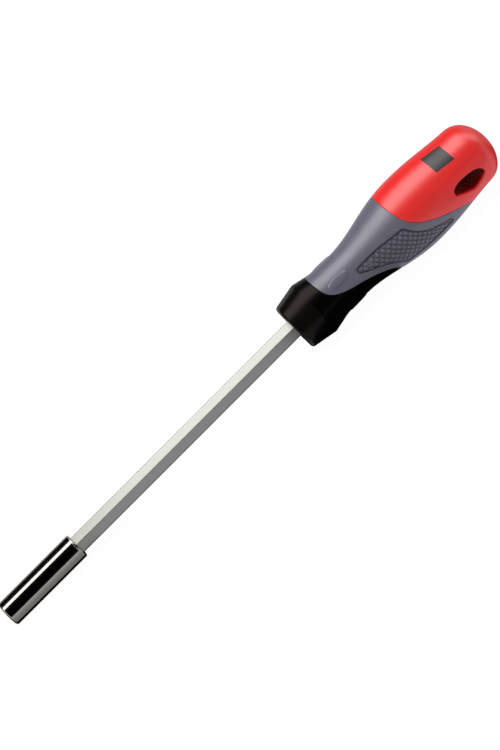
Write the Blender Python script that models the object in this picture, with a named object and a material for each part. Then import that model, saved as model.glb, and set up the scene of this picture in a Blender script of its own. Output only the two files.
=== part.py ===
"""Magnetic bit holder: a hex blade with a bit socket at its tip, in a three-part screwdriver handle.

The tool lies along X with the socket towards -X and the butt towards +X. The label side of the
handle faces +Z, the hanging slot runs along Y, and the handle's belly touches z = 0.
Lengths along the handle are measured from the front face of its collar.
"""

import math

import bmesh
import bpy
from mathutils import Matrix, Vector

MM = 0.001

# Bit sleeve, a turned steel tube with a hex socket at the front and the blade at the back
SLEEVE_DIA = 10.7 * MM
SLEEVE_EDGE = 1.0 * MM
SLEEVE_WALL_BEHIND = 18.5 * MM
SOCKET_FLATS = 6.45 * MM
SOCKET_DEPTH = 13.0 * MM
SOCKET_LEAD = 0.45 * MM
GROOVE_AT = 3.6 * MM
GROOVE_WIDTH = 1.1 * MM
GROOVE_DIA = 8.5 * MM

# Retaining ring in the socket's groove, and the magnet at its bottom
RING_WIRE = 0.7 * MM
RING_GAP = math.radians(50)
MAGNET_DIA = 6.0 * MM
MAGNET_LENGTH = 5.0 * MM
MAGNET_EDGE = 0.25 * MM

# Blade, a hex bar whose corner stands this far round from the label side
BLADE_FLATS = 7.0 * MM
BLADE_SHOWN = 113.3 * MM
BLADE_IN_HANDLE = 58.0 * MM
BLADE_CHAMFER = 0.6 * MM
BLADE_TURN = math.radians(50)

# Outer form of the handle: lengths of its stretches from front to butt, and its diameters
FRONT_CONE = 10.6 * MM
REAR_CONE = 8.0 * MM
FINGER_ZONE = 9.8 * MM
FLARE = 33.6 * MM
TAPER = 29.0 * MM
DOME = 9.3 * MM
FACE_DIA = 19.9 * MM
CREST_DIA = 23.7 * MM
NECK_DIA = 20.3 * MM
WAIST_DIA = 19.8 * MM
BELLY_DIA = 29.7 * MM
SHOULDER_DIA = 25.3 * MM
FACE_ROUND = 1.4 * MM

# Walls of the mouldings over the core
GRIP_WALL = 2.3 * MM
FRONT_WALL = 3.0 * MM

# Wave seams: where each lies on the label side and on the underside, from the nearest station
COLLAR_SEAM_TOP = 5.2 * MM
COLLAR_SEAM_UNDER = 17.0 * MM
BUTT_SEAM_TOP = 7.7 * MM
BUTT_SEAM_UNDER = 19.7 * MM
SEAM_STEEPNESS = 1.9

# Hanging slot, an oval hole through the butt
SLOT_FROM_BUTT = 8.9 * MM
SLOT_LENGTH = 14.2 * MM
SLOT_HEIGHT = 7.1 * MM

# Thumb pads round the finger zone
PAD_LENGTH = 9.3 * MM
PAD_WIDTH = 3.9 * MM
PAD_RISE = 0.3 * MM
PAD_ANGLES = [math.radians(angle) for angle in (48, 132, 228, 312)]

# Sunk textured panel on each flank: distances from the waist, and angles from the label side
PANEL_DEPTH = 0.4 * MM
PANEL_LENGTH = 38.7 * MM
PANEL_FROM_WAIST = 3.0 * MM
PANEL_UPPER_RUN = 23.4 * MM
PANEL_LOWER_RUN = 15.6 * MM
PANEL_UPPER_ANGLE = math.radians(57)
PANEL_UPPER_LEAN = math.radians(6)
PANEL_LOWER_ANGLE = math.radians(118)
PANEL_NOSE_ANGLE = math.radians(7)

# Gap that each seated piece keeps to its neighbour
SEAT_GAP = 0.2 * MM

# Facets round the handle, and round the smaller turned pieces
HANDLE_STEPS = 56
TURNED_STEPS = 40
PROUD = 1.0 * MM

CREST_AT = FRONT_CONE
NECK_AT = CREST_AT + REAR_CONE
WAIST_AT = NECK_AT + FINGER_ZONE
BELLY_AT = WAIST_AT + FLARE
SHOULDER_AT = BELLY_AT + TAPER
HANDLE_LENGTH = SHOULDER_AT + DOME
SLEEVE_LENGTH = SOCKET_DEPTH + MAGNET_LENGTH + SEAT_GAP + SLEEVE_WALL_BEHIND
STEM_RADIUS = WAIST_DIA / 2 - GRIP_WALL - SEAT_GAP
BORE_FLATS = BLADE_FLATS + 2 * SEAT_GAP

OVERALL = SLEEVE_LENGTH + BLADE_SHOWN + HANDLE_LENGTH
TIP_X = -OVERALL / 2
COLLAR_X = TIP_X + SLEEVE_LENGTH + BLADE_SHOWN


def ease(share):
    """A smooth rise from 0 to 1 with level ends."""
    return (1 - math.cos(math.pi * share)) / 2


def outer_radius(along):
    """Radius of the handle's outer surface behind its front corner."""
    face, crest, neck, waist, belly, shoulder = (
        dia / 2 for dia in (FACE_DIA, CREST_DIA, NECK_DIA, WAIST_DIA, BELLY_DIA, SHOULDER_DIA)
    )
    if along <= CREST_AT:
        return face + (crest - face) * along / FRONT_CONE
    if along <= NECK_AT:
        return crest + (neck - crest) * (along - CREST_AT) / REAR_CONE
    if along <= WAIST_AT:
        return neck + (waist - neck) * (along - NECK_AT) / FINGER_ZONE
    if along <= BELLY_AT:
        return waist + (belly - waist) * ease(((along - WAIST_AT) / FLARE) ** 0.93)
    if along <= SHOULDER_AT:
        return belly + (shoulder - belly) * ease(0.88 * ((along - BELLY_AT) / TAPER) ** 1.1) / ease(0.88)
    rise = min(1.0, (along - SHOULDER_AT) / DOME)
    return shoulder * math.sqrt(1 - rise * rise)


def seat_radius(along):
    """Radius of the inner surface that the collar and the soft grip share."""
    return max(STEM_RADIUS + SEAT_GAP, outer_radius(along) - GRIP_WALL)


def wave(angle, top, under):
    """Place of a wave seam at an angle round from the label side, between its two extremes."""
    swing = math.tanh(SEAM_STEEPNESS * math.cos(angle)) / math.tanh(SEAM_STEEPNESS)
    return (top + under) / 2 - (under - top) / 2 * swing


def collar_seam(angle):
    return wave(angle, CREST_AT + COLLAR_SEAM_TOP, WAIST_AT + COLLAR_SEAM_UNDER)


def butt_seam(angle):
    return wave(angle, BELLY_AT - BUTT_SEAM_TOP, BELLY_AT + BUTT_SEAM_UNDER)


def spread(start, end, count):
    """Evenly spaced values from start to end, both included."""
    return [start + (end - start) * i / (count - 1) for i in range(count)]


def around(along, radius, angle):
    """The point at a distance along the axis, a radius, and an angle round from the label side."""
    return Vector((along, -radius * math.sin(angle), radius * math.cos(angle)))


def from_axis(vert):
    return math.hypot(vert.co.y, vert.co.z)


def half_gap(seam, angle):
    """Half the seat gap across a slanting seam, measured along the axis."""
    step = 0.01
    slope = (seam(angle + step) - seam(angle - step)) / (2 * step) / seat_radius(seam(angle))
    return SEAT_GAP / 2 * math.hypot(1, slope)


def make_material(name, colour, roughness, metallic=0.0):
    material = bpy.data.materials.new(name)
    material.use_nodes = True
    shader = material.node_tree.nodes["Principled BSDF"]
    shader.inputs["Base Color"].default_value = (*colour, 1.0)
    shader.inputs["Roughness"].default_value = roughness
    shader.inputs["Metallic"].default_value = metallic
    return material


def finish_mesh(name, bm, x, material=None):
    """Closes the mesh into an object that stands on the tool's axis, x along it."""
    bmesh.ops.remove_doubles(bm, verts=bm.verts, dist=1e-7)
    bmesh.ops.dissolve_degenerate(bm, edges=bm.edges, dist=1e-7)
    bmesh.ops.recalc_face_normals(bm, faces=bm.faces)
    mesh = bpy.data.meshes.new(name)
    bm.to_mesh(mesh)
    bm.free()
    mesh.shade_smooth()
    mesh.set_sharp_from_angle(angle=math.radians(30))
    item = bpy.data.objects.new(name, mesh)
    bpy.context.scene.collection.objects.link(item)
    item.parent = tool_axis
    item.location.x = x
    if material:
        mesh.materials.append(material)
    return item


def loft(section, steps, closed):
    """Joins the section at each angle round the axis. An open section starts and ends on the axis.

    Each patch is split from its outer corner, so that facing walls of two mouldings run parallel.
    """
    bm = bmesh.new()
    rings = []
    for step in range(steps):
        angle = 2 * math.pi * step / steps
        rings.append([bm.verts.new(around(along, radius, angle)) for along, radius in section(angle)])
    count = len(rings[0])
    for step in range(steps):
        here, there = rings[step], rings[(step + 1) % steps]
        for i in range(count if closed else count - 1):
            j = (i + 1) % count
            quad = [here[i], here[j], there[j], there[i]]
            if from_axis(here[i]) < from_axis(here[j]):
                quad = quad[1:] + quad[:1]
            bm.faces.new(quad[:3])
            bm.faces.new((quad[0], quad[2], quad[3]))
    return bm


def turned(outline, steps=TURNED_STEPS):
    return loft(lambda angle: outline, steps, closed=False)


def drawn(outline, travel):
    """The flat outline drawn out along the travel into a closed bar."""
    bm = bmesh.new()
    face = bm.faces.new([bm.verts.new(point) for point in outline])
    swept = bmesh.ops.extrude_face_region(bm, geom=[face], use_keep_orig=True)
    moved = [item for item in swept["geom"] if isinstance(item, bmesh.types.BMVert)]
    bmesh.ops.translate(bm, vec=travel, verts=moved)
    return bm


def prism(flats, turn, start, end):
    """A hex bar along X with one corner at turn round from the label side."""
    corner_radius = flats / math.sqrt(3)
    corners = [around(start, corner_radius, turn + side * math.pi / 3) for side in range(6)]
    return drawn(corners, Vector((end - start, 0, 0)))


def cut(item, name, bm, operation="DIFFERENCE"):
    """Cuts the shape out of the item, or joins it on, keeping the shape as a hidden helper."""
    helper = finish_mesh(name, bm, item.location.x)
    helper.hide_render = True
    helper.display_type = "WIRE"
    modifier = item.modifiers.new(name, "BOOLEAN")
    modifier.operation = operation
    modifier.solver = "EXACT"
    modifier.object = helper


def rounded_corner(along, radius, size, start, end, steps=5):
    """Arc points of a corner round whose centre is at along and radius."""
    return [(along + size * math.cos(a), radius + size * math.sin(a)) for a in spread(start, end, steps)]


def make_bit_sleeve():
    radius = SLEEVE_DIA / 2
    edge = SLEEVE_EDGE
    front = rounded_corner(edge, radius - edge, edge, math.pi, math.pi / 2)
    back = rounded_corner(SLEEVE_LENGTH - edge, radius - edge, edge, math.pi / 2, 0)
    sleeve = finish_mesh(
        "bit_sleeve", turned([(0, 0), *front, *back, (SLEEVE_LENGTH, 0)]), TIP_X, polished_steel
    )
    shelf = SOCKET_DEPTH + MAGNET_LENGTH + SEAT_GAP
    magnet_bore = MAGNET_DIA / 2 + SEAT_GAP / 2
    corner = SOCKET_FLATS / math.sqrt(3)
    lead = [(-PROUD, 0), (-PROUD, corner + SOCKET_LEAD), (0, corner + SOCKET_LEAD), (corner, 0)]
    groove = [
        (GROOVE_AT, 0),
        (GROOVE_AT, GROOVE_DIA / 2),
        (GROOVE_AT + GROOVE_WIDTH, GROOVE_DIA / 2),
        (GROOVE_AT + GROOVE_WIDTH, 0),
    ]
    seat = [
        (SOCKET_DEPTH - PROUD, 0),
        (SOCKET_DEPTH - PROUD, magnet_bore),
        (shelf + PROUD, magnet_bore),
        (shelf + PROUD, 0),
    ]
    cut(sleeve, "socket_cut", prism(SOCKET_FLATS, BLADE_TURN, -PROUD, SOCKET_DEPTH))
    cut(sleeve, "lead_cut", turned(lead))
    cut(sleeve, "groove_cut", turned(groove))
    cut(sleeve, "magnet_seat_cut", turned(seat))
    cut(sleeve, "blade_bore_cut", prism(BORE_FLATS, BLADE_TURN, shelf, SLEEVE_LENGTH + PROUD))


def make_retaining_ring():
    """A spring-wire ring, open at one side, that lies in the groove of the socket."""
    mean = (GROOVE_DIA - RING_WIRE) / 2 - SEAT_GAP / 2
    middle = GROOVE_AT + GROOVE_WIDTH / 2
    bm = bmesh.new()
    bmesh.ops.create_circle(bm, cap_ends=True, segments=10, radius=RING_WIRE / 2)
    start = BLADE_TURN + RING_GAP / 2
    lift = Matrix.Translation(Vector((middle, 0, mean))) @ Matrix.Rotation(math.pi / 2, 4, "X")
    bmesh.ops.transform(bm, matrix=Matrix.Rotation(start, 4, "X") @ lift, verts=bm.verts)
    bmesh.ops.spin(
        bm,
        geom=bm.faces[:] + bm.edges[:] + bm.verts[:],
        axis=Vector((1, 0, 0)),
        cent=Vector((middle, 0, 0)),
        angle=2 * math.pi - RING_GAP,
        steps=32,
        use_duplicate=False,
    )
    finish_mesh("retaining_ring", bm, TIP_X, spring_steel)


def make_magnet():
    radius, edge = MAGNET_DIA / 2, MAGNET_EDGE
    outline = [
        (0, 0),
        (0, radius - edge),
        (edge, radius),
        (MAGNET_LENGTH - edge, radius),
        (MAGNET_LENGTH, radius - edge),
        (MAGNET_LENGTH, 0),
    ]
    finish_mesh("magnet", turned(outline), TIP_X + SOCKET_DEPTH, magnet_nickel)


def make_hex_blade():
    start = SLEEVE_LENGTH - SLEEVE_WALL_BEHIND + SEAT_GAP
    end = SLEEVE_LENGTH + BLADE_SHOWN + BLADE_IN_HANDLE
    bm = prism(BLADE_FLATS, BLADE_TURN, start, end)
    bm.normal_update()
    rims = [edge for edge in bm.edges if edge.calc_length() < BLADE_FLATS]
    bmesh.ops.bevel(bm, geom=rims, offset=BLADE_CHAMFER, segments=1, affect="EDGES")
    finish_mesh("hex_blade", bm, TIP_X, satin_chrome)


def make_handle_core():
    """The hard moulding that holds the blade: a stem under the other two, and the butt that shows."""
    front = FRONT_WALL + SEAT_GAP

    def section(angle):
        seam = butt_seam(angle) + half_gap(butt_seam, angle)
        stem = [(along, seat_radius(along) - SEAT_GAP) for along in spread(front, seam, 16)]
        belly = [(along, outer_radius(along)) for along in spread(seam, SHOULDER_AT, 10)]
        dome = [
            (SHOULDER_AT + DOME * math.sin(a), SHOULDER_DIA / 2 * math.cos(a))
            for a in spread(0, math.pi / 2, 9)[1:-1]
        ]
        return [(front, 0), *stem, *belly, *dome, (HANDLE_LENGTH, 0)]

    core = finish_mesh("handle_core", loft(section, HANDLE_STEPS, closed=False), COLLAR_X, red_plastic)
    cut(core, "blade_hole_cut", prism(BORE_FLATS, BLADE_TURN, 0, BLADE_IN_HANDLE + SEAT_GAP))
    cut(core, "hanging_slot_cut", hanging_slot())


def hanging_slot():
    """The slot's oval outline, drawn through the butt along Y."""
    middle = HANDLE_LENGTH - SLOT_FROM_BUTT - SLOT_LENGTH / 2
    turns = spread(0, 2 * math.pi, TURNED_STEPS + 1)[:-1]
    outline = [(SLOT_LENGTH / 2 * math.cos(a), SLOT_HEIGHT / 2 * math.sin(a)) for a in turns]
    near_side = [Vector((middle + along, -BELLY_DIA, height)) for along, height in outline]
    return drawn(near_side, Vector((0, 2 * BELLY_DIA, 0)))


def thumb_pad(angle):
    """A shallow dome with a pointed-oval footprint, standing on the finger zone at this angle."""
    along = (NECK_AT + WAIST_AT) / 2
    base = outer_radius(along)
    bm = bmesh.new()
    bmesh.ops.create_uvsphere(bm, u_segments=16, v_segments=8, radius=1)
    size = Matrix.Diagonal((PAD_LENGTH / 2, PAD_WIDTH / 2, PAD_RISE, 1))
    lift = Matrix.Translation(Vector((along, 0, base)))
    bmesh.ops.transform(bm, matrix=Matrix.Rotation(angle, 4, "X") @ lift @ size, verts=bm.verts)
    return bm


def make_front_collar():
    """The black moulding round the blade's exit, with a crest at the front and a long back below."""

    def section(angle):
        seam = collar_seam(angle) - half_gap(collar_seam, angle)
        slope = math.atan2(CREST_DIA - FACE_DIA, 2 * FRONT_CONE)
        centre = FACE_DIA / 2 - FACE_ROUND * math.cos(slope) + FACE_ROUND * math.tan(slope)
        corner = rounded_corner(FACE_ROUND, centre, FACE_ROUND, math.pi, math.pi / 2 + slope)
        inner = [(along, seat_radius(along)) for along in spread(seam, FRONT_WALL, 12)]
        outer = [(along, outer_radius(along)) for along in spread(CREST_AT, seam, 14)]
        return [(0, 0), *corner, *outer, *inner, (FRONT_WALL, 0)]

    collar = finish_mesh("front_collar", loft(section, HANDLE_STEPS, closed=False), COLLAR_X, black_plastic)
    cut(collar, "blade_exit_cut", prism(BORE_FLATS, BLADE_TURN, -PROUD, FRONT_WALL + PROUD))
    for number, angle in enumerate(PAD_ANGLES):
        if math.cos(angle) < 0:
            cut(collar, f"under_pad_{number}", thumb_pad(angle), "UNION")


def flank_panel(side):
    """The sunk panel's cutter: a slanted patch of the handle's surface, given thickness.

    Its upper and lower sides are nearly straight, and a bent line leads from each to a blunt nose.
    """
    start = WAIST_AT + PANEL_FROM_WAIST
    upper, lower = PANEL_UPPER_ANGLE, PANEL_LOWER_ANGLE
    upper_end = upper + PANEL_UPPER_LEAN
    bm = bmesh.new()
    sheets = []
    for reach in (PROUD, -PANEL_DEPTH):
        rows = []
        for along in spread(start, start + PANEL_LENGTH, 32):
            side_share = min(1.0, (along - start) / PANEL_UPPER_RUN)
            back_share = max(0.0, along - start - PANEL_UPPER_RUN) / (PANEL_LENGTH - PANEL_UPPER_RUN)
            front_share = min(1.0, (along - start) / PANEL_LOWER_RUN)
            back_bend = back_share**0.62
            front_bend = 0.75 * front_share + 0.25 * front_share**5
            top = upper + PANEL_UPPER_LEAN * side_share + (lower - PANEL_NOSE_ANGLE - upper_end) * back_bend
            bottom = upper + PANEL_NOSE_ANGLE + (lower - PANEL_NOSE_ANGLE - upper) * front_bend
            radius = outer_radius(along) + reach
            rows.append([bm.verts.new(around(along, radius, side * a)) for a in spread(top, bottom, 7)])
        sheets.append(rows)
    for rows in sheets:
        for row, following in zip(rows, rows[1:]):
            for i in range(len(row) - 1):
                bm.faces.new((row[i], row[i + 1], following[i + 1], following[i]))
    rims = [edge for edge in bm.edges if edge.is_boundary]
    bmesh.ops.bridge_loops(bm, edges=rims)
    return bm


def make_soft_grip():
    """The rubber moulding between the two wave seams, with a sunk panel on each flank."""

    def section(angle):
        front = collar_seam(angle) + half_gap(collar_seam, angle)
        back = butt_seam(angle) - half_gap(butt_seam, angle)
        outer = [(along, outer_radius(along)) for along in spread(front, back, 22)]
        inner = [(along, seat_radius(along)) for along in spread(back, front, 14)]
        return outer + inner

    grip = finish_mesh("soft_grip", loft(section, HANDLE_STEPS, closed=True), COLLAR_X, grey_rubber)
    for side, hand in ((1, "left"), (-1, "right")):
        cut(grip, f"{hand}_panel_cut", flank_panel(side))
    for number, angle in enumerate(PAD_ANGLES):
        if math.cos(angle) > 0:
            cut(grip, f"upper_pad_{number}", thumb_pad(angle), "UNION")


for item in list(bpy.data.objects):
    bpy.data.objects.remove(item)

polished_steel = make_material("polished_steel", (0.45, 0.44, 0.43), 0.12, 1.0)
spring_steel = make_material("spring_steel", (0.5, 0.5, 0.5), 0.3, 1.0)
magnet_nickel = make_material("magnet_nickel", (0.6, 0.6, 0.58), 0.25, 1.0)
satin_chrome = make_material("satin_chrome", (0.75, 0.76, 0.74), 0.35, 1.0)
red_plastic = make_material("red_plastic", (0.6, 0.015, 0.015), 0.35)
black_plastic = make_material("black_plastic", (0.006, 0.006, 0.006), 0.45)
grey_rubber = make_material("grey_rubber", (0.12, 0.12, 0.14), 0.6)

tool_axis = bpy.data.objects.new("tool_axis", None)
bpy.context.scene.collection.objects.link(tool_axis)
tool_axis.location.z = BELLY_DIA / 2

make_bit_sleeve()
make_retaining_ring()
make_magnet()
make_hex_blade()
make_handle_core()
make_front_collar()
make_soft_grip()
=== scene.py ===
"""Looks of a magnetic bit holder: a chromed hex blade with a bit socket, in a soft-grip handle.

The tool lies along X as in the frame, with its tip towards -X and the label side of its handle
towards +Z. Lengths are in metres.
"""

import math

import bmesh
import bpy
from mathutils import Matrix, Vector


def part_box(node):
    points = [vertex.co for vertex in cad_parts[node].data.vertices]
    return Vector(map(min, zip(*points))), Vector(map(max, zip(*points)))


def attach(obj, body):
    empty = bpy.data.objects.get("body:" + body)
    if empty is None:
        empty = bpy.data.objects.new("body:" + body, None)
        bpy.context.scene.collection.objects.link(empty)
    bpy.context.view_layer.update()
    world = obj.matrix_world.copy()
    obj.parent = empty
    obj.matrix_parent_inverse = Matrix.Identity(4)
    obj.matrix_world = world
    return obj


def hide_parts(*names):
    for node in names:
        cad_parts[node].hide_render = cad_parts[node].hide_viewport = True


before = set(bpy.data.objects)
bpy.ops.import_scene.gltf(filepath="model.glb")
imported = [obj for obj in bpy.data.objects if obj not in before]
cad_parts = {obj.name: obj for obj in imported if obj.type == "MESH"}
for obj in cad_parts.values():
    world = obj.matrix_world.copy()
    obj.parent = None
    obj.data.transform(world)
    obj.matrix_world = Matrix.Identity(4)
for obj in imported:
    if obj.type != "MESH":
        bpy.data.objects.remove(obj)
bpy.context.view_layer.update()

# Magnet: a sintered disc at the bottom of the bit socket, ground flat and nickel plated.
# It is dropped into its seat from behind, and the blade's end holds it there.
MM = 0.001
merge_distance = 0.001 * MM
magnet_low, magnet_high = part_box("magnet")
axis_height = (magnet_low.z + magnet_high.z) / 2
magnet_edge = 0.3 * MM
magnet_sides = 72
noise_low = 0.3
noise_high = 0.7


def open_piece(piece):
    """Selects this piece alone and opens its mesh."""
    if bpy.context.mode != "OBJECT":
        bpy.ops.object.mode_set(mode="OBJECT")
    bpy.ops.object.select_all(action="DESELECT")
    piece.select_set(True)
    bpy.context.view_layer.objects.active = piece
    bpy.ops.object.mode_set(mode="EDIT")
    bpy.ops.mesh.select_mode(type="VERT")


def choose(kind, test):
    """Selects those verts, edges or faces of the open mesh that pass the test."""
    bpy.ops.mesh.select_all(action="DESELECT")
    bpy.ops.mesh.select_mode(type=kind)
    opened = bmesh.from_edit_mesh(bpy.context.edit_object.data)
    for element in {"VERT": opened.verts, "EDGE": opened.edges, "FACE": opened.faces}[kind]:
        if test(element):
            element.select_set(True)
    bmesh.update_edit_mesh(bpy.context.edit_object.data)


def settle_piece():
    """Merges the open mesh's doubles, turns its faces outward and shuts it, placed for good."""
    bpy.ops.mesh.select_all(action="SELECT")
    bpy.ops.mesh.remove_doubles(threshold=merge_distance)
    bpy.ops.mesh.normals_make_consistent(inside=False)
    bpy.ops.object.mode_set(mode="OBJECT")
    bpy.ops.object.transform_apply(location=True, rotation=True, scale=True)


def close_piece(sharp=30):
    """Shuts the open mesh, and smooths all but its sharp edges."""
    settle_piece()
    bpy.ops.object.shade_smooth_by_angle(angle=math.radians(sharp))


def add_node(material, kind, settings=None, **links):
    """A new node with its settings, fed by the sockets in links, which are named as its inputs."""
    node = material.node_tree.nodes.new(kind)
    for name, value in (settings or {}).items():
        if name in node.inputs:
            node.inputs[name].default_value = value
        else:
            setattr(node, name, value)
    for name, socket in links.items():
        material.node_tree.links.new(socket, node.inputs[name])
    return node


def plain_finish(name, colour, roughness, metallic=0.0):
    """A new material and its shader, with values that are the same all over."""
    material = bpy.data.materials.new(name)
    material.use_nodes = True
    shader = material.node_tree.nodes["Principled BSDF"]
    shader.inputs["Base Color"].default_value = (*colour, 1.0)
    shader.inputs["Roughness"].default_value = roughness
    shader.inputs["Metallic"].default_value = metallic
    return material, shader


def stretched_noise(material, scale, detail=3.0):
    """Noise on the piece's own coordinates, with one scale for each axis, in marks to the metre."""
    place = add_node(material, "ShaderNodeTexCoord")
    where = place.outputs["Object"]
    mapping = add_node(material, "ShaderNodeMapping", {"Scale": scale}, Vector=where)
    settings = {"Scale": 1.0, "Detail": detail, "Roughness": 0.6}
    noise = add_node(material, "ShaderNodeTexNoise", settings, Vector=mapping.outputs["Vector"])
    return noise.outputs["Fac"]


def spread_over(material, fac, low, high, target):
    """Lets a value on the shader wander between low and high with the noise."""
    settings = {"From Min": noise_low, "From Max": noise_high, "To Min": low, "To Max": high}
    ranged = add_node(material, "ShaderNodeMapRange", settings, Value=fac)
    material.node_tree.links.new(ranged.outputs["Result"], target)


def tint_over(material, fac, first, second, target):
    """Lets a colour on the shader wander between two with the noise."""
    ramp = add_node(material, "ShaderNodeValToRGB", Fac=fac)
    ramp.color_ramp.elements[0].position = noise_low
    ramp.color_ramp.elements[0].color = (*first, 1.0)
    ramp.color_ramp.elements[1].position = noise_high
    ramp.color_ramp.elements[1].color = (*second, 1.0)
    material.node_tree.links.new(ramp.outputs["Color"], target)
    return ramp


def bumped(material, shader, fac, depth):
    """Raises the surface with the noise by this depth."""
    bump = add_node(material, "ShaderNodeBump", {"Strength": 1.0, "Distance": depth}, Height=fac)
    material.node_tree.links.new(bump.outputs["Normal"], shader.inputs["Normal"])


def metal_finish(name, light, dark, roughness, marks, depth):
    """Bare or plated metal with fine tool marks, stretched along or round the piece."""
    material, shader = plain_finish(name, light, roughness, 1.0)
    fac = stretched_noise(material, marks)
    tint_over(material, fac, dark, light, shader.inputs["Base Color"])
    wander = 0.15 * roughness
    spread_over(material, fac, roughness - wander, roughness + wander, shader.inputs["Roughness"])
    bumped(material, shader, fac, depth)
    return material


bpy.ops.mesh.primitive_cylinder_add(
    vertices=magnet_sides,
    radius=(magnet_high.z - magnet_low.z) / 2,
    depth=magnet_high.x - magnet_low.x,
    location=(magnet_low + magnet_high) / 2,
    rotation=(0, math.pi / 2, 0),
)
magnet = bpy.context.object
magnet.name = "nickel_magnet"
open_piece(magnet)
choose("EDGE", lambda edge: len(edge.link_faces) == 2 and edge.calc_face_angle() > math.radians(60))
bpy.ops.mesh.bevel(offset=magnet_edge, segments=3)
choose("FACE", lambda face: len(face.verts) > 8)
bpy.ops.mesh.inset(thickness=3 * magnet_edge, use_individual=True)
close_piece()
magnet.data.materials.append(
    metal_finish(
        "nickel",
        light=(0.62, 0.6, 0.56),
        dark=(0.54, 0.52, 0.48),
        roughness=0.25,
        marks=(300, 2500, 9000),
        depth=0.002 * MM,
    )
)
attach(magnet, "root")
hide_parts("magnet")

# Retaining ring: a ring of hard spring wire, open at one side, that sits in a groove of the socket.
# It is wound and cut from straight wire, and it snaps into the notches of a bit.
ring_low, ring_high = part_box("retaining_ring")
ring_wire = ring_high.x - ring_low.x
ring_mean = (ring_high.y - ring_low.y - ring_wire) / 2
ring_middle = (ring_low.x + ring_high.x) / 2
blade_turn = math.radians(50)
ring_gap = math.radians(50)
ring_steps = 72
wire_sides = 16


def turn_round(piece, angle):
    """Turns the mesh of a piece round the tool's axis."""
    piece.data.transform(
        Matrix.Translation((0, 0, axis_height))
        @ Matrix.Rotation(angle, 4, "X")
        @ Matrix.Translation((0, 0, -axis_height))
    )


bpy.ops.mesh.primitive_circle_add(
    vertices=wire_sides,
    radius=ring_wire / 2,
    fill_type="NGON",
    location=(ring_middle, 0, axis_height + ring_mean),
    rotation=(math.pi / 2, 0, 0),
)
ring = bpy.context.object
ring.name = "spring_ring"
open_piece(ring)
bpy.ops.mesh.spin(
    steps=ring_steps,
    angle=2 * math.pi - ring_gap,
    center=(ring_middle, 0, axis_height),
    axis=(1, 0, 0),
)
close_piece(sharp=50)
turn_round(ring, blade_turn + ring_gap / 2)
ring.data.materials.append(
    metal_finish(
        "spring_wire",
        light=(0.5, 0.49, 0.47),
        dark=(0.42, 0.41, 0.4),
        roughness=0.3,
        marks=(4000, 900, 900),
        depth=0.001 * MM,
    )
)
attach(ring, "root")
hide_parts("retaining_ring")

# Bit sleeve: turned from stainless bar, broached with a hex socket for the bits, and polished.
# Its back end is bored hexagonal as well and is pressed on the blade.
sleeve_low, sleeve_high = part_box("bit_sleeve")
sleeve_radius = (sleeve_high.z - sleeve_low.z) / 2
sleeve_length = sleeve_high.x - sleeve_low.x
sleeve_round = 1.0 * MM
sleeve_back_round = 0.7 * MM
socket_flats = 6.45 * MM
socket_depth = magnet_low.x - sleeve_low.x
socket_lead = 0.45 * MM
groove_radius = 4.25 * MM
groove_front = 3.6 * MM
groove_back = 4.7 * MM
magnet_seat = 3.1 * MM
blade_bore = 7.2 * MM
magnet_room = 0.2 * MM
shelf = magnet_high.x - sleeve_low.x + magnet_room
turned_sides = 96
round_steps = 6
hair = 0.01 * MM
margin = 0.1 * MM


def turned(name, profile, start_x, sides, first_angle=0.0):
    """A new piece: a profile's (along, radius) points drawn one by one and spun round the axis."""
    along, radius = profile[0]
    bpy.ops.mesh.primitive_plane_add(size=MM, location=(start_x + along, 0, axis_height + radius))
    piece = bpy.context.object
    piece.name = name
    open_piece(piece)
    bpy.ops.mesh.merge(type="CENTER")
    for here, there in zip(profile, profile[1:]):
        step = (there[0] - here[0], 0, there[1] - here[1])
        bpy.ops.mesh.extrude_vertices_move(TRANSFORM_OT_translate={"value": step})
    bpy.ops.mesh.select_all(action="SELECT")
    bpy.ops.mesh.spin(steps=sides, angle=2 * math.pi, center=(0, 0, axis_height), axis=(1, 0, 0))
    settle_piece()
    turn_round(piece, first_angle)
    return piece


def round_axis(place):
    """Radius and angle of a point round the tool's axis, the angle counted from the label side."""
    return math.hypot(place.y, place.z - axis_height), math.atan2(-place.y, place.z - axis_height)


def at_angle(x, radius, angle):
    """The point at this radius and angle round the tool's axis."""
    return Vector((x, -radius * math.sin(angle), axis_height + radius * math.cos(angle)))


def hex_radius(flats, angle):
    """Distance from the axis to the side of a hexagon that is turned as the blade is."""
    from_flat = (angle - blade_turn) % (math.pi / 3) - math.pi / 6
    return flats / 2 / math.cos(from_flat)


def steps(start, end, count):
    """Evenly spaced values from start to end, both included."""
    return [start + (end - start) * i / count for i in range(count + 1)]


def corner_round(along, radius, size, start, end):
    """Points of a quarter round, or less, about its centre."""
    angles = steps(start, end, round_steps)
    return [(along + size * math.cos(a), radius + size * math.sin(a)) for a in angles]


socket_corner = socket_flats / math.sqrt(3)
bore_corner = blade_bore / math.sqrt(3)
mouth = socket_corner + socket_lead
front_radius = sleeve_radius - sleeve_round
front_round = corner_round(sleeve_round, front_radius, sleeve_round, math.pi, math.pi / 2)
back_start = sleeve_length - sleeve_back_round
back_radius = sleeve_radius - sleeve_back_round
back_round = corner_round(back_start, back_radius, sleeve_back_round, math.pi / 2, 0)
sleeve = turned(
    "polished_sleeve",
    [
        (shelf, bore_corner),
        (shelf, magnet_seat),
        (socket_depth, magnet_seat),
        (socket_depth, socket_corner),
        (groove_back, socket_corner),
        (groove_back, groove_radius),
        (groove_front, groove_radius),
        (groove_front, socket_corner),
        (socket_lead, socket_corner),
        (0, mouth),
        *front_round,
        (2 * sleeve_round, sleeve_radius),
        (sleeve_length - 2 * sleeve_round, sleeve_radius),
        *back_round,
        (sleeve_length, bore_corner),
        (shelf, bore_corner),
    ],
    sleeve_low.x,
    turned_sides,
    blade_turn,
)
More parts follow.
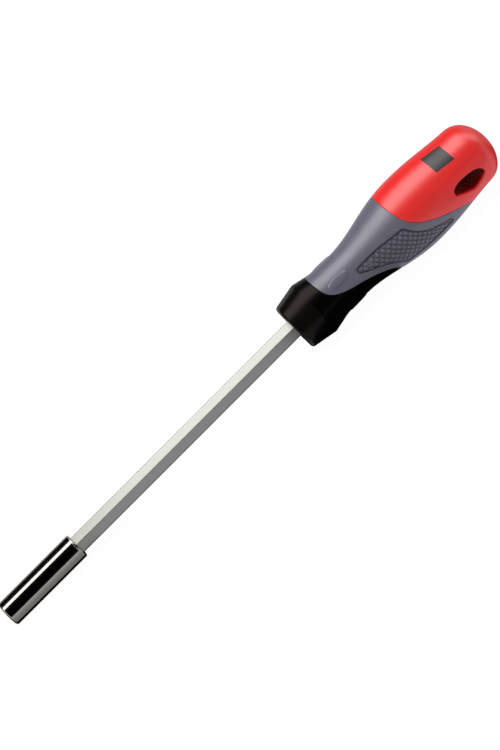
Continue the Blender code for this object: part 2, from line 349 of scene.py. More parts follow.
for vert in sleeve.data.vertices:
    radius, angle = round_axis(vert.co)
    along = vert.co.x - sleeve_low.x
    if abs(radius - socket_corner) < hair and along < socket_depth + margin:
        flat = hex_radius(socket_flats, angle)
        if along < groove_front - margin:
            along += socket_corner - flat
        vert.co = at_angle(sleeve_low.x + along, flat, angle)
    if abs(radius - bore_corner) < hair and along > shelf - margin:
        vert.co = at_angle(vert.co.x, hex_radius(blade_bore, angle), angle)
open_piece(sleeve)
close_piece(sharp=28)
sleeve.data.materials.append(
    metal_finish(
        "polished_stainless",
        light=(0.33, 0.308, 0.292),
        dark=(0.292, 0.272, 0.258),
        roughness=0.1,
        marks=(2600, 60, 60),
        depth=0.0001 * MM,
    )
)
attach(sleeve, "root")
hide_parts("bit_sleeve")

# Blade: drawn hexagonal bar of tool steel, satin chromed, with the small radius that drawing leaves
# on its edges. One end is pressed into the sleeve, and the handle is moulded round the other.
blade_low, blade_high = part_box("hex_blade")
blade_flats = 7.0 * MM
blade_edge = 0.15 * MM
blade_chamfer = 0.6 * MM
long_edge = 20 * blade_flats

bpy.ops.mesh.primitive_cylinder_add(
    vertices=6,
    radius=blade_flats / math.sqrt(3),
    depth=blade_high.x - blade_low.x,
    location=((blade_low.x + blade_high.x) / 2, 0, axis_height),
    rotation=(0, math.pi / 2, 0),
)
blade = bpy.context.object
blade.name = "hex_blade_bar"
open_piece(blade)
close_piece()
corner_angle = round_axis(blade.data.vertices[0].co)[1]
turn_round(blade, blade_turn - corner_angle)
open_piece(blade)
choose("FACE", lambda face: abs(face.normal.x) > 0.9)
bpy.ops.mesh.bevel(offset=blade_chamfer, segments=1)
choose("EDGE", lambda edge: edge.calc_length() > long_edge)
bpy.ops.mesh.bevel(offset=blade_edge, segments=3)
close_piece(sharp=20)
blade.data.materials.append(
    metal_finish(
        "satin_chrome",
        light=(0.292, 0.293, 0.269),
        dark=(0.26, 0.261, 0.24),
        roughness=0.34,
        marks=(25, 5200, 5200),
        depth=0.0012 * MM,
    )
)
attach(blade, "root")
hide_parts("hex_blade")

# Handle core: the hard red moulding that holds the blade. Its stem is hidden under the other two
# shots, and its butt shows, with a slot to hang the tool by and a dark print on the label side.
collar_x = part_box("front_collar")[0].x
handle_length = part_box("handle_core")[1].x - collar_x
crest_at = 10.6 * MM
neck_at = 18.6 * MM
waist_at = 28.4 * MM
belly_at = 62.0 * MM
shoulder_at = 91.0 * MM
face_radius = 9.95 * MM
crest_radius = 11.85 * MM
neck_radius = 10.15 * MM
waist_radius = 9.9 * MM
belly_radius = axis_height
shoulder_radius = 12.65 * MM
belly_bend = 0.93
shoulder_bend = 1.1
shoulder_share = 0.88
blend_length = 1.5 * MM
blend_shifts = (-1, -0.5, 0, 0.5, 1)
grip_wall = 2.3 * MM
seat_gap = 0.2 * MM
handle_sides = 96
pole_radius = 0.05 * MM
skin_fade = 0.12 * MM


def ease(share):
    """A smooth rise from 0 to 1 with level ends."""
    return (1 - math.cos(math.pi * share)) / 2


def handle_form(along):
    """Radius of the handle's outer form, stretch by stretch from the collar's face to the butt."""
    if along <= crest_at:
        return face_radius + (crest_radius - face_radius) * along / crest_at
    if along <= neck_at:
        share = (along - crest_at) / (neck_at - crest_at)
        return crest_radius + (neck_radius - crest_radius) * share
    if along <= waist_at:
        share = (along - neck_at) / (waist_at - neck_at)
        return neck_radius + (waist_radius - neck_radius) * share
    if along <= belly_at:
        share = (along - waist_at) / (belly_at - waist_at)
        return waist_radius + (belly_radius - waist_radius) * ease(share**belly_bend)
    if along <= shoulder_at:
        share = (along - belly_at) / (shoulder_at - belly_at)
        drop = ease(shoulder_share * share**shoulder_bend) / ease(shoulder_share)
        return belly_radius + (shoulder_radius - belly_radius) * drop
    rise = min(1.0, (along - shoulder_at) / (handle_length - shoulder_at))
    return shoulder_radius * math.sqrt(1 - rise * rise)


def handle_radius(along):
    """The outer form with the stretches behind the crest blended into each other."""
    near_crest = min(1.0, max(0.0, (along - crest_at - blend_length) / blend_length))
    near_butt = min(1.0, max(0.0, (shoulder_at + 3 * blend_length - along) / (2 * blend_length)))
    reach = blend_length * min(near_crest, near_butt)
    radii = [handle_form(along + reach * shift) for shift in blend_shifts]
    return sum(radii) / len(radii)


def wave(angle, top, under, steepness, lag):
    """Place of a wave seam at an angle round from the label side, between its two extremes."""
    first, last, here = [math.tanh(steepness * (turn + lag)) for turn in (1, -1, math.cos(angle))]
    return top + (under - top) * (first - here) / (first - last)


def butt_seam(angle):
    """Place of the seam between the red butt and the grey grip."""
    return wave(angle, top=54.3 * MM, under=81.7 * MM, steepness=1.85, lag=0.08)


def moulded(name, profile, place, first_angle=0.0):
    """A new piece of the handle: a profile of (along, sunk) points is spun, with sunk as the depth
    under the outer form, and then each point goes to the along and angle that place gives it."""
    drawn = [(along, max(0.0, handle_radius(along) - sunk)) for along, sunk in profile]
    piece = turned(name, drawn, collar_x, handle_sides, first_angle)
    for vert in piece.data.vertices:
        radius, angle = round_axis(vert.co)
        if radius > pole_radius:
            along = vert.co.x - collar_x
            sunk = handle_radius(along) - radius
            along, angle = place(along, angle)
            vert.co = at_angle(collar_x + along, handle_radius(along) - sunk, angle)
    return piece


def smoothed(piece):
    """Subdivides the piece once, and puts what lies on the outer form back on it exactly."""
    modifier = piece.modifiers.new("smooth", "SUBSURF")
    modifier.levels = 1
    modifier.render_levels = 1
    bpy.ops.object.modifier_apply(modifier=modifier.name)
    for vert in piece.data.vertices:
        radius, angle = round_axis(vert.co)
        along = vert.co.x - collar_x
        if radius > pole_radius and 0 < along < handle_length:
            sunk = handle_radius(along) - radius
            if abs(sunk) < skin_fade:
                sunk *= abs(sunk) / skin_fade
                vert.co = at_angle(vert.co.x, handle_radius(along) - sunk, angle)


handle_sharp = math.radians(40)
lip = 0.28 * MM
stem_front = 3.2 * MM
butt_free = 96.0 * MM
stem_rows = 8
butt_rows = 26
dome_rows = 9
column_step = 2 * math.pi / handle_sides
slot_middle = 83.6 * MM
slot_drop = 0.7 * MM
slot_lean = 0.14
slot_half = 7.0 * MM
slot_rise = 3.7 * MM
slot_full = 2.7
slot_point = 1.45
slot_straight = 1.05
slot_lip = 0.8 * MM
slot_lip_turns = (25, 50, 75, 90)
slot_wall = 0.8
slot_shade_depth = 1.6 * MM
slot_row = 14
slot_rows = 7
slot_columns = 5
slot_rings = 3


def slot_rim(along, height, spread):
    """Where the line from the slot's middle to a point crosses its outline, widened by spread."""
    ahead = along - slot_middle
    over = height + slot_drop + slot_lean * ahead
    power = slot_full
    if over < 0:
        power = slot_point if ahead > 0 else slot_straight
    far = abs(ahead) / (slot_half + spread)
    high = abs(over) / (slot_rise + spread)
    out = (far**power + high**power) ** (1 / power)
    return slot_middle + ahead / out, (over - slot_lean * ahead) / out - slot_drop


def on_flank(along, height, sunk=0.0, side=1):
    """The point of the outer form at this height over the axis, on the near or the far flank."""
    radius = handle_radius(along)
    return at_angle(collar_x + along, radius - sunk, side * math.acos(height / radius))


def slid_row(row, angle):
    """Place of a ring of the butt at an angle: the first follows its seam, the last is level."""
    level = butt_seam(0) + lip + (butt_free - butt_seam(0) - lip) * row / butt_rows
    return level + max(0.0, 1 - row / butt_rows) * (butt_seam(angle) - butt_seam(0))


def butt_place(along, angle):
    """Slides the butt's rings along the wave seam and opens them round the slot."""
    row = butt_rows * (along - butt_seam(0) - lip) / (butt_free - butt_seam(0) - lip)
    if along <= butt_seam(0) + lip / 2:
        return along + butt_seam(angle) - butt_seam(0), angle
    if row >= butt_rows:
        return along, angle
    down = round(row - slot_row, 4)
    across = round((abs(angle) - math.pi / 2) / column_step, 4)
    ring = max(abs(down) - slot_rows, abs(across) - slot_columns)
    if ring > slot_rings:
        return slid_row(row, angle), angle
    if ring < 0:
        return slot_middle, math.copysign(math.pi / 2, angle)
    far_row = slot_row + down * (slot_rows + slot_rings) / (slot_rows + ring)
    far_across = across * (slot_columns + slot_rings) / (slot_columns + ring)
    far_angle = math.pi / 2 + far_across * column_step
    far_along = slid_row(far_row, far_angle)
    far_height = handle_radius(far_along) * math.cos(far_angle)
    rim_along, rim_height = slot_rim(far_along, far_height, slot_lip)
    along = rim_along + (far_along - rim_along) * ring / slot_rings
    height = rim_height + (far_height - rim_height) * ring / slot_rings
    return along, math.copysign(math.acos(height / handle_radius(along)), angle)


def seam_lip(seam, way):
    """Points of the rounded lip that a moulding has along a seam, on this side of it."""
    return [(seam, 3 * lip), (seam, lip), (seam + way * 0.3 * lip, 0.3 * lip)]


label_seam = butt_seam(0)
dome_length = handle_length - shoulder_at
dome_start = math.asin((butt_free - shoulder_at) / dome_length)
dome_turns = steps(dome_start, math.pi / 2, dome_rows)
dome = [(shoulder_at + dome_length * math.sin(turn), 0) for turn in dome_turns]
core = moulded(
    "red_handle_core",
    [
        (stem_front, handle_radius(stem_front)),
        *[(along, grip_wall + seat_gap) for along in steps(stem_front, label_seam, stem_rows)],
        *seam_lip(label_seam, 1),
        *[(along, 0) for along in steps(label_seam + lip, butt_free, butt_rows)],
        *dome[1:],
    ],
    butt_place,
)


def at_slot_middle(vert):
    """Tells whether a point is one of those drawn together in the middle of the slot."""
    return math.dist((vert.co.x, vert.co.z), (collar_x + slot_middle, axis_height)) < hair


open_piece(core)
choose("VERT", at_slot_middle)
bpy.ops.mesh.delete(type="VERT")
for side in (1, -1):
    choose("EDGE", lambda edge: edge.is_boundary and edge.verts[0].co.y * side < 0)
    for turn in slot_lip_turns:
        bpy.ops.mesh.extrude_edges_move()
        opened = bmesh.from_edit_mesh(core.data)
        spread = slot_lip * (1 - math.sin(math.radians(turn)))
        sunk = slot_lip * (1 - math.cos(math.radians(turn)))
        for vert in opened.verts:
            if vert.select:
                rim = slot_rim(vert.co.x - collar_x, vert.co.z - axis_height, spread)
                vert.co = on_flank(*rim, sunk, side)
        bmesh.update_edit_mesh(core.data)
    bpy.ops.mesh.extrude_edges_move()
    bpy.ops.transform.resize(value=(1, slot_wall, 1), center_override=(0, 0, 0))
    bpy.ops.mesh.extrude_edges_move()
    bpy.ops.transform.resize(value=(1, 0, 1), center_override=(0, 0, 0))
close_piece()
smoothed(core)
bpy.ops.object.shade_smooth_by_angle(angle=handle_sharp)


def mark_recess(piece, depth):
    """Writes how far each point lies under the outer form, with 1 at this depth and more, as the
    mask of the painted shade in recesses.
    """
    marks = piece.data.attributes.new("recess", "FLOAT", "POINT")
    for vert, mark in zip(piece.data.vertices, marks.data):
        sunk = handle_radius(min(handle_length, vert.co.x - collar_x)) - round_axis(vert.co)[0]
        mark.value = min(1.0, max(0.0, sunk / depth))


cloud_scale = (60, 60, 60)
grain_scale = (3200, 3200, 3200)
mix_share = 0
mix_first = 6
mix_second = 7
mix_colour = 2


def plastic_finish(name, light, dark, roughness, shine, grain, shade):
    """Moulded plastic or rubber: a faint cloudiness, the fine spark-eroded grain of its mould, and
    painted shade that leaves only this share of its colour and shine in its recesses."""
    material, shader = plain_finish(name, light, roughness)
    cloud = stretched_noise(material, cloud_scale, detail=4.0)
    clouded = tint_over(material, cloud, dark, light, shader.inputs["Base Color"])
    # Painted shade: colour and shine fall off with depth under the outer form, where shade falls.
    recess = add_node(material, "ShaderNodeAttribute", {"attribute_name": "recess"})
    recess_shade = add_node(material, "ShaderNodeMix", {"data_type": "RGBA"})
    recess_shade.inputs[mix_second].default_value = (*[shade * part for part in dark], 1.0)
    material.node_tree.links.new(recess.outputs["Fac"], recess_shade.inputs[mix_share])
    material.node_tree.links.new(clouded.outputs["Color"], recess_shade.inputs[mix_first])
    material.node_tree.links.new(recess_shade.outputs[mix_colour], shader.inputs["Base Color"])
    settings = {"To Min": shine, "To Max": shade * shine}
    dulled = add_node(material, "ShaderNodeMapRange", settings, Value=recess.outputs["Fac"])
    material.node_tree.links.new(dulled.outputs["Result"], shader.inputs["Specular IOR Level"])
    fine = stretched_noise(material, grain_scale, detail=2.0)
    wander = 0.05
    spread_over(material, fine, roughness - wander, roughness + wander, shader.inputs["Roughness"])
    bumped(material, shader, fine, grain)
    return material


# Painted shade: the slot's walls and the seam lip darken with depth under the outer form.
mark_recess(core, slot_shade_depth)
core.data.materials.append(
    plastic_finish(
        "red_plastic",
        light=(0.85, 0.007, 0.004),
        dark=(0.78, 0.006, 0.003),
        roughness=0.35,
        shine=0.92,
        grain=0.003 * MM,
        shade=0.3,
    )
)
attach(core, "root")
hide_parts("handle_core")

# Badge: a plain dark square printed on the label side of the butt, a little turned.
# A pad printing machine lays it on as a thin film of ink.
badge_at = 81.2 * MM
badge_half = 4.2 * MM
badge_angle = math.radians(22.4)
badge_sweep = math.radians(19.2)
badge_slope = 0.06
badge_lean = 0.1
badge_film = 0.04 * MM
badge_columns = 14
badge_rows = 18

bpy.ops.mesh.primitive_grid_add(
    x_subdivisions=badge_columns, y_subdivisions=badge_rows, size=2.0
)
badge = bpy.context.object
badge.name = "dark_badge"
open_piece(badge)
bpy.ops.mesh.extrude_region_move(TRANSFORM_OT_translate={"value": (0, 0, -1)})
bpy.ops.object.mode_set(mode="OBJECT")
for vert in badge.data.vertices:
    ahead, across, under = vert.co
    along = badge_at + badge_half * (ahead + badge_slope * across)
    angle = badge_angle + badge_sweep * (across + badge_lean * ahead)
    vert.co = at_angle(collar_x + along, handle_radius(along) + badge_film * (1 + 2 * under), angle)
open_piece(badge)
close_piece()
badge.data.materials.append(
    plastic_finish(
        "dark_ink",
        light=(0.034, 0.024, 0.028),
        dark=(0.026, 0.018, 0.021),
        roughness=0.4,
        shine=0.55,
        grain=0.004 * MM,
        shade=1.0,
    )
)
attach(badge, "root")

# Front collar: the hard black moulding round the blade, with a hexagonal hole in its flat face and
# a crest that stops the hand. On the underside it reaches far back, and it carries two oval pads.
hole_flats = 7.4 * MM
front_wall = 3.0 * MM
face_round = 1.4 * MM
face_edge = 0.4 * MM
hole_edge = 0.3 * MM
crest_edge = 0.35 * MM
crest_blunt = 0.02 * MM
collar_rows = 16
cone_rows = 6
face_rows = 4
pad_at = 23.9 * MM
pad_half_length = 4.95 * MM
pad_half_width = 1.95 * MM
pad_rise = 0.3 * MM
pad_sunk = 0.2
pad_side = 0.23
pad_insets = (0.05, 0.06, 0.06, 0.06, 0.2, 0.25)
pad_blunt = 0.78
pad_points = 48
under_pads = (math.radians(132), math.radians(228))


def collar_seam(angle):
    """Place of the seam between the grey grip and the black collar."""
    return wave(angle, top=15.8 * MM, under=45.4 * MM, steepness=2.25, lag=0.01)


def collar_place(along, angle):
    """Slides the rings behind the crest so that the last one follows the wave seam."""
    share = max(0.0, (along - crest_at) / (collar_seam(0) - crest_at))
    return along + share * (collar_seam(angle) - collar_seam(0)), angle


def blunted(share):
    """Makes an oval blunter at its ends."""
    return math.copysign(abs(share) ** pad_blunt, share)


def oval_pad(angle):
    """A low oval pad with sloping sides, laid on the outer form at this angle."""
    bpy.ops.mesh.primitive_circle_add(vertices=pad_points, radius=1.0, fill_type="NGON")
    pad = bpy.context.object
    open_piece(pad)
    bpy.ops.mesh.select_all(action="SELECT")
    for thickness in pad_insets:
        bpy.ops.mesh.inset(thickness=thickness)
    bpy.ops.mesh.poke()
    bpy.ops.object.mode_set(mode="OBJECT")
    for vert in pad.data.vertices:
        out, way = vert.co.length, math.atan2(vert.co.y, vert.co.x)
        along = pad_at + pad_half_length * out * blunted(math.cos(way))
        share = ease(min(1.0, (1 - out) / pad_side))
        rise = pad_rise * ((1 + pad_sunk) * share - pad_sunk)
        turn = angle + pad_half_width * out * blunted(math.sin(way)) / waist_radius
        vert.co = at_angle(collar_x + along, handle_radius(along) + rise, turn)
    return pad


def joined(main, others):
    """Joins the other pieces into the main one."""
    bpy.ops.object.select_all(action="DESELECT")
    for other in others:
        other.select_set(True)
    main.select_set(True)
    bpy.context.view_layer.objects.active = main
    bpy.ops.object.join()


top_seam = collar_seam(0)
cone_lean = math.atan((crest_radius - face_radius) / crest_at)
hole_corner = hole_flats / math.sqrt(3)
round_middle = handle_radius(face_round) - face_round / math.cos(cone_lean)
front_corner = corner_round(face_round, round_middle, face_round, math.pi / 2 + cone_lean, math.pi)
face_rings = [(0, radius) for radius in steps(round_middle, hole_corner, face_rows)[1:]]
hole_places = (hole_edge, front_wall - hole_edge, front_wall)
hole_rings = [(along, hole_corner) for along in hole_places]
front_points = front_corner + face_rings + hole_rings
collar = moulded(
    "black_front_collar",
    [
        *seam_lip(top_seam, -1),
        *[(along, 0) for along in steps(top_seam - lip, crest_at + crest_edge, collar_rows)],
        (crest_at, crest_blunt),
        *[(along, 0) for along in steps(crest_at - crest_edge, face_round + face_edge, cone_rows)],
        *[(along, handle_radius(along) - radius) for along, radius in front_points],
        *[(along, grip_wall) for along in steps(front_wall, top_seam, stem_rows)],
        (top_seam, 3 * lip),
    ],
    collar_place,
    blade_turn,
)
for vert in collar.data.vertices:
    radius, angle = round_axis(vert.co)
    if abs(radius - hole_corner) < hair and vert.co.x - collar_x < front_wall + margin:
        vert.co = at_angle(vert.co.x, hex_radius(hole_flats, angle), angle)
open_piece(collar)
close_piece()
smoothed(collar)
joined(collar, [oval_pad(angle) for angle in under_pads])
bpy.ops.object.shade_smooth_by_angle(angle=handle_sharp)
# Painted shade: the hex hole, the flat face towards it and the seam lip darken with depth.
mark_recess(collar, 3 * lip)
warm_shine = (1.0, 0.82, 0.74)
black_plastic = plastic_finish(
    "black_plastic",
    light=(0.0012, 0.0009, 0.0009),
    dark=(0.0008, 0.0006, 0.0006),
    roughness=0.29,
    shine=0.14,
    grain=0.006 * MM,
    shade=0.5,
)
black_shader = black_plastic.node_tree.nodes["Principled BSDF"]
black_shader.inputs["Specular Tint"].default_value = (*warm_shine, 1.0)
collar.data.materials.append(black_plastic)
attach(collar, "root")
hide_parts("front_collar")

# Soft grip: grey rubber, moulded over the stem between the other two shots, with two oval pads.
# Each flank has a slanting panel of small pyramids inside a groove, drawn square to the mould's
# halves.
panel_at = 51.0 * MM
panel_lower = -7.45 * MM
panel_upper = 4.95 * MM
panel_lift = 1.4 * MM
lift_from = 27.0 * MM
lift_over = 20.0 * MM
front_raised = 1.1 * MM
front_slant = {"slope": 0.75, "gain": 2.45, "width": 1.3, "start": 0.5, "reach": 8.42, "nose": 19.7}
back_lowered = 0.2 * MM
back_slant = {"slope": 0.5, "gain": 1.9, "width": 2.0, "start": 0.0, "reach": 5.95, "nose": 18.9}
nose_blend = 0.55
line_flare = 3.0 * MM
line_tries = 8
groove_half = 0.35 * MM
groove_edge = 0.04 * MM
groove_depth = 0.55 * MM
floor_depth = 0.45 * MM
upper_column = 16
lower_column = 34
last_column = handle_sides // 2
panel_front_row = 10
panel_back_row = 32
last_row = 37
dot_step = 1.3 * MM
dot_off = -0.83 * MM
dot_foot = 0.98 * dot_step
dot_top = 0.42 * dot_step
dot_height = 1.1 * floor_depth
dot_edge = 0.1 * MM
dot_inside = 0.15 * MM
dot_clear = 1.2 * groove_half
dot_ranks = 5
dot_files = 16
wall_rows = 12
upper_pads = (math.radians(48), math.radians(312))


def panel_slant(rise, spread, slope, gain, width, start, reach, nose):
    """How far an end of the panel lies from its middle at a height, as a bent line with a blunt
    nose. The sizes of the line are in millimetres."""
    here = rise / MM
    bend = math.exp((here - start) / width)
    line = reach + slope * here + gain * width * math.log(1 + bend)
    line += spread / MM * math.hypot(1, slope + gain * bend / (1 + bend))
    blunt = nose + spread / MM
    nearer = math.exp(-line / nose_blend) + math.exp(-blunt / nose_blend)
    return -nose_blend * math.log(nearer) * MM


def panel_box(along, height, spread):
    """Front and back of the panel at this height, and its lower and upper side at this place."""
    front = panel_at - panel_slant(height + front_raised, spread, **front_slant)
    back = panel_at + panel_slant(-height - back_lowered, spread, **back_slant)
    rise = ease(min(1.0, max(0.0, (along - lift_from) / lift_over)))
    return (front, back), (panel_lower - spread, panel_upper + panel_lift * rise + spread)


def grip_angle(column, along):
    """Angle of a column of the grip's rings. Two follow the panel's upper and lower side."""
    radius = handle_radius(along)
    lower, upper = panel_box(along, 0, groove_half)[1]
    if column < upper_column:
        return math.acos(upper / radius) * column / upper_column
    if column <= lower_column:
        share = (column - upper_column) / (lower_column - upper_column)
        return math.acos((upper + (lower - upper) * share) / radius)
    share = (column - lower_column) / (last_column - lower_column)
    return math.acos(lower / radius) * (1 - share) + math.pi * share


def grip_line(line, column):
    """Place on a column of one of the grip's four lines: its front seam, the panel's front, the
    panel's back and its back seam."""
    along = panel_at
    inside = min(lower_column, max(upper_column, column))
    beside = max(0.0, (column - lower_column) / (last_column - lower_column))
    beside -= max(0.0, (upper_column - column) / upper_column)
    for _ in range(line_tries):
        if line in (0, 3):
            along = (collar_seam if line == 0 else butt_seam)(grip_angle(column, along))
        else:
            height = handle_radius(along) * math.cos(grip_angle(inside, along))
            end = panel_box(along, height, groove_half)[0][line - 1]
            along = end + math.copysign(line_flare * ease(abs(beside)), beside)
    return along


def grip_place(along, angle):
    """Bends the grip's rings and columns so that they follow its seams and the panel's outline."""
    row = last_row * (along - collar_seam(0)) / (butt_seam(0) - collar_seam(0))
    column = abs(angle) / column_step
    if row < panel_front_row:
        line, share = 0, row / panel_front_row
    elif row < panel_back_row:
        line, share = 1, (row - panel_front_row) / (panel_back_row - panel_front_row)
    else:
        line, share = 2, (row - panel_back_row) / (last_row - panel_back_row)
    along = grip_line(line, column) * (1 - share) + grip_line(line + 1, column) * share
    return along, math.copysign(grip_angle(column, along), angle)


def in_panel(along, height, spread):
    """Tells whether a point of the flank lies inside the panel's outline, widened by spread."""
    (front, back), (lower, upper) = panel_box(along, height, spread)
    return front < along < back and lower < height < upper


def panel_face(face):
    """Tells whether a face of the handle's outer form lies inside the groove's outer edge."""
    corner = face.verts[0].co
    middle = face.calc_center_median()
    on_skin = round_axis(corner)[0] > handle_radius(corner.x - collar_x) - margin
    return on_skin and in_panel(middle.x - collar_x, middle.z - axis_height, groove_half)


row_step = (label_seam - top_seam) / last_row
grip = moulded(
    "grey_soft_grip",
    [
        *seam_lip(top_seam, 1),
        (top_seam + lip, 0),
        *[(along, 0) for along in steps(top_seam + row_step, label_seam - row_step, last_row - 2)],
        (label_seam - lip, 0),
        *reversed(seam_lip(label_seam, -1)),
        *[(along, grip_wall) for along in steps(label_seam, top_seam, wall_rows)],
        (top_seam, 3 * lip),
    ],
    grip_place,
)
open_piece(grip)
choose("FACE", panel_face)
groove_steps = (
    (0.06 * MM, -groove_edge),
    (0.2 * MM, groove_edge - groove_depth),
    (0.18 * MM, 0),
    (0.2 * MM, groove_depth - floor_depth),
)
for thickness, depth in groove_steps:
    bpy.ops.mesh.inset(thickness=thickness, depth=depth)
close_piece()
smoothed(grip)

bpy.ops.mesh.primitive_cone_add(vertices=4, radius1=dot_foot, radius2=dot_top, depth=dot_height)
dot = bpy.context.object
open_piece(dot)
choose("EDGE", lambda edge: edge.verts[0].co.z > 0 or edge.verts[1].co.z > 0)
bpy.ops.mesh.bevel(offset=dot_edge, segments=2)
close_piece()
dots = []
for side in (1, -1):
    for across in range(-dot_ranks, dot_ranks + 1):
        for ahead in range(-dot_files, dot_files + 1):
            middle = (panel_at + ahead * dot_step, dot_off + across * dot_step)
            if (ahead + across) % 2 or not in_panel(*middle, -dot_inside):
                continue
            lower, upper = panel_box(*middle, -dot_clear)[1]
            copy = dot.copy()
            copy.data = dot.data.copy()
            bpy.context.scene.collection.objects.link(copy)
            dots.append(copy)
            for vert in copy.data.vertices:
                height = min(upper, max(lower, middle[1] + vert.co.y))
                ends = panel_box(middle[0], height, -dot_clear)[0]
                along = min(ends[1], max(ends[0], middle[0] + vert.co.x))
                sunk = floor_depth / 2 - vert.co.z
                vert.co = on_flank(along, height, sunk, side)
bpy.data.objects.remove(dot)
joined(grip, [*dots, *[oval_pad(angle) for angle in upper_pads]])
open_piece(grip)
close_piece(sharp=40)
# Painted shade: the groove, the panel's floor, the gaps between the pyramids and the seam lips
# darken with depth.
mark_recess(grip, groove_depth)
grip.data.materials.append(
    plastic_finish(
        "grey_rubber",
        light=(0.123, 0.119, 0.165),
        dark=(0.105, 0.102, 0.142),
        roughness=0.39,
        shine=1.0,
        grain=0.01 * MM,
        shade=0.55,
    )
)
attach(grip, "root")
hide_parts("soft_grip")

# Floor, light and camera: a pale floor that the tool lies on, touching it with its belly and the
# edge of its sleeve, one long soft box overhead, studio cards that only reflections see, and a long
# lens square to the tool.
floor_size = 8.0
floor_grey = (0.85, 0.85, 0.85)
floor_glow = 1.05
floor_white = 0.92
touch_tries = 80
touch_x = sleeve_low.x + sleeve_round
touch_z = sleeve_low.z
lean = max(
    (touch_z - axis_height + handle_radius(along)) / (collar_x + along - touch_x)
    for along in steps(waist_at, shoulder_at, touch_tries)
)
bpy.ops.mesh.primitive_plane_add(
    size=floor_size, location=(touch_x, 0, touch_z), rotation=(0, math.atan(lean), 0)
)
floor = bpy.context.object
floor.name = "floor"


def seen_white(material):
    """1 for the rays that look at the background, by eye or by way of metal and glass."""
    path = add_node(material, "ShaderNodeLightPath")
    first = add_node(material, "ShaderNodeMath", {"operation": "MAXIMUM"})
    second = add_node(material, "ShaderNodeMath", {"operation": "MAXIMUM"})
    links = material.node_tree.links
    links.new(path.outputs["Is Camera Ray"], first.inputs[0])
    links.new(path.outputs["Is Glossy Ray"], first.inputs[1])
    links.new(first.outputs[0], second.inputs[0])
    links.new(path.outputs["Is Transmission Ray"], second.inputs[1])
    return second.outputs[0]


floor_paper, floor_shader = plain_finish("floor_paper", floor_grey, roughness=0.9)
glow_settings = {"Color": (1, 1, 1, 1), "Strength": floor_glow}
glow = add_node(floor_paper, "ShaderNodeEmission", glow_settings)
share = add_node(floor_paper, "ShaderNodeMath", {"operation": "MULTIPLY"})
share.inputs[1].default_value = floor_white
floor_paper.node_tree.links.new(seen_white(floor_paper), share.inputs[0])
mix = add_node(floor_paper, "ShaderNodeMixShader", Fac=share.outputs[0])
floor_paper.node_tree.links.new(floor_shader.outputs[0], mix.inputs[1])
floor_paper.node_tree.links.new(glow.outputs[0], mix.inputs[2])
output = floor_paper.node_tree.nodes["Material Output"]
floor_paper.node_tree.links.new(mix.outputs[0], output.inputs["Surface"])
floor.data.materials.append(floor_paper)

room_light = 0.5
world = bpy.data.worlds.new("studio")
world.use_nodes = True
bpy.context.scene.world = world
room = world.node_tree.nodes["Background"]
room.inputs["Color"].default_value = (1, 1, 1, 1)
room_settings = {"To Min": room_light, "To Max": 1.0}
ambient = add_node(world, "ShaderNodeMapRange", room_settings, Value=seen_white(world))
world.node_tree.links.new(ambient.outputs["Result"], room.inputs["Strength"])

box_distance = 0.8
box_behind = math.radians(8)
box_depth = 0.66
box_length = 1.3
box_radiance = 2.6
lamp = bpy.data.lights.new("soft_box", "AREA")
lamp.shape = "RECTANGLE"
lamp.size = box_length
lamp.size_y = box_depth
lamp.energy = box_radiance * math.pi * box_length * box_depth
soft_box = bpy.data.objects.new("soft_box", lamp)
bpy.context.scene.collection.objects.link(soft_box)
soft_box.location = at_angle(0, box_distance, -box_behind)
soft_box.rotation_euler = (-box_behind, 0, 0)

near_card = 0.15
far_card = 0.7
butt_card = 0.5
card_lift = 0.3 * MM
black = 0.0
side_grey = 0.35
cool_white = (0.92, 0.9, 1.0)
sleeve_span = (-0.26, -0.08)
handle_span = (0.02, 0.45)
butt_span = (0.1, 0.45)
floor_span = (-1.2, 1.2)
card_front = -0.006
card_back = 0.012


def studio_card(name, level, span, width, matrix):
    """A black, grey or white card that only reflections see, between two places on its length."""
    first_x, last_x = span
    bpy.ops.mesh.primitive_plane_add(size=1.0)
    card = bpy.context.object
    card.name = name
    along = Matrix.Translation(((first_x + last_x) / 2, 0, 0))
    card.matrix_world = matrix @ along @ Matrix.Diagonal((last_x - first_x, width, 1, 1))
    paper, shader = plain_finish(name, (0, 0, 0), 1.0)
    shader.inputs["Specular IOR Level"].default_value = 0.0
    shader.inputs["Emission Color"].default_value = (1, 1, 1, 1)
    shader.inputs["Emission Strength"].default_value = level
    card.data.materials.append(paper)
    card.visible_camera = False
    card.visible_diffuse = False
    card.visible_shadow = False
    card.visible_transmission = False
    return paper, shader


def round_card(name, level, distance, span, first, last):
    """A card that stands round the tool at this distance, between two angles in degrees."""
    middle = math.radians((first + last) / 2)
    width = 2 * distance * math.tan(math.radians((last - first) / 2))
    turned_up = Matrix.Translation(at_angle(0, distance, middle)) @ Matrix.Rotation(middle, 4, "X")
    studio_card(name, level, span, width, turned_up)


def floor_card(name, level, layer, span, first_y, last_y, tint=(1, 1, 1)):
    """A card that lies over the floor, in this layer, between two places across the tool."""
    lift = layer * card_lift
    lying = floor.matrix_world @ Matrix.Translation((0, (first_y + last_y) / 2, lift))
    from_touch = [x - touch_x for x in span]
    paper, shader = studio_card(name, level, from_touch, last_y - first_y, lying)
    shader.inputs["Emission Color"].default_value = (*tint, 1)
    return paper, shader


def end_card(name, level, first_y, last_y, low, high):
    """A card that stands across the tool beyond its butt, between two places and two heights."""
    middle = Matrix.Translation((butt_card, (first_y + last_y) / 2, 0))
    upright = middle @ Matrix.Rotation(math.radians(-90), 4, "Y")
    studio_card(name, level, (low, high), last_y - first_y, upright)


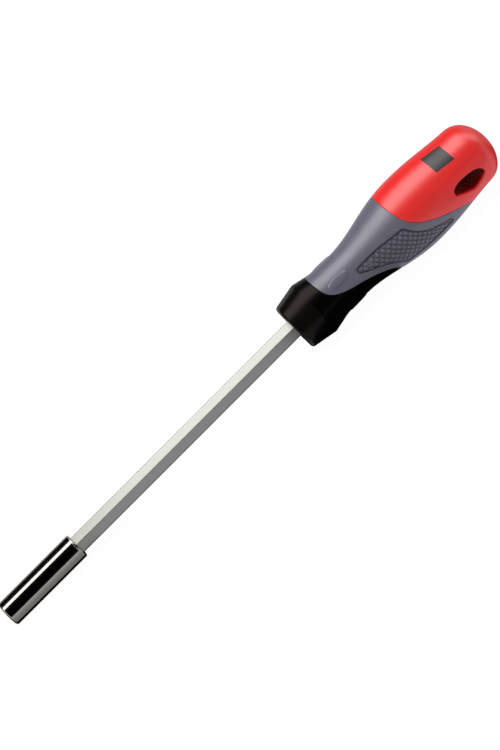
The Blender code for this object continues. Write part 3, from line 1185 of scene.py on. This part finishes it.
end_card("butt_dark_card", black, -0.5, 0.02, low=0.0, high=0.5)
end_card("butt_end_card", 2.8, 0.02, 0.3, low=0.05, high=0.5)
round_card("sleeve_front_card", black, near_card, sleeve_span, 8.5, 92)
round_card("sleeve_back_card", black, near_card, sleeve_span, -68, -16)
round_card("sleeve_side_card", side_grey, near_card, sleeve_span, -128, -68.5)
round_card("handle_front_card", black, near_card, handle_span, 16, 96)
round_card("handle_back_card", black, near_card, handle_span, -68, -31)
round_card("handle_side_card", side_grey, near_card, handle_span, -128, -68.5)
round_card("collar_front_card", black, far_card, (-0.42, -0.15), 14, 91)
round_card("collar_back_card", black, far_card, (-0.42, 0.05), -68, -25)
round_card("sleeve_edge_card", black, far_card, (0.0, 0.5), 14, 70)
floor_card("floor_card", 0.98, 1, floor_span, -0.8, card_front, cool_white)
# Painted shade: a black strip under the tool, which reflections show as the shade beneath it.
floor_card("under_card", black, 1, floor_span, card_front, card_back)
floor_card("collar_floor_card", black, 2, (0.0245, 0.068), -0.1, card_front)
floor_card("front_floor_card", black, 2, (-0.3, 0.02), -0.75, -0.12)
floor_card("handle_floor_card", 0.65, 2, (0.068, 0.45), -0.3, card_front, cool_white)
floor_card("butt_floor_card", black, 3, butt_span, -0.3, -0.034)
floor_card("butt_behind_card", 0.3, 1, butt_span, card_back, 0.3)
floor_card("collar_behind_card", black, 1, (0.015, 0.045), card_back, 0.16)

# Painted shadow: the floor that the sleeve reflects darkens towards the tool, where its shade
# falls.
far_level = 0.9
near_level = 0.42
fading_paper, fading_shader = floor_card(
    "sleeve_floor_card", far_level, 2, sleeve_span, -0.12, card_front
)
places = add_node(fading_paper, "ShaderNodeTexCoord").outputs["Object"]
across = add_node(fading_paper, "ShaderNodeSeparateXYZ", Vector=places).outputs["Y"]
fade_settings = {"From Min": 0.3, "From Max": 0.5, "To Min": far_level, "To Max": near_level}
fade = add_node(fading_paper, "ShaderNodeMapRange", fade_settings, Value=across)
fading_paper.node_tree.links.new(fade.outputs["Result"], fading_shader.inputs["Emission Strength"])

view_height = math.radians(36)
tool_slant = math.radians(45)
lens = 194.0
sensor = 36.0
picture_long = 750
pixels_per_metre = 2700
aim_right = 3.5 / pixels_per_metre
aim_up = 1.0 / pixels_per_metre
camera_data = bpy.data.cameras.new("camera")
camera_data.lens = lens
camera_data.sensor_width = sensor
camera = bpy.data.objects.new("camera", camera_data)
bpy.context.scene.collection.objects.link(camera)
back = Vector((0, -math.cos(view_height), math.sin(view_height)))
level_up = Vector((0, math.sin(view_height), math.cos(view_height)))
tool_way = Vector((1, 0, 0))
right = math.cos(tool_slant) * tool_way - math.sin(tool_slant) * level_up
up = math.sin(tool_slant) * tool_way + math.cos(tool_slant) * level_up
distance = lens / sensor * picture_long / pixels_per_metre
place = Vector((0, 0, axis_height)) + right * aim_right + up * aim_up + back * distance
camera.matrix_world = Matrix.Translation(place) @ Matrix((right, up, back)).transposed().to_4x4()
bpy.context.scene.camera = camera
bpy.context.scene.view_settings.view_transform = "Standard"
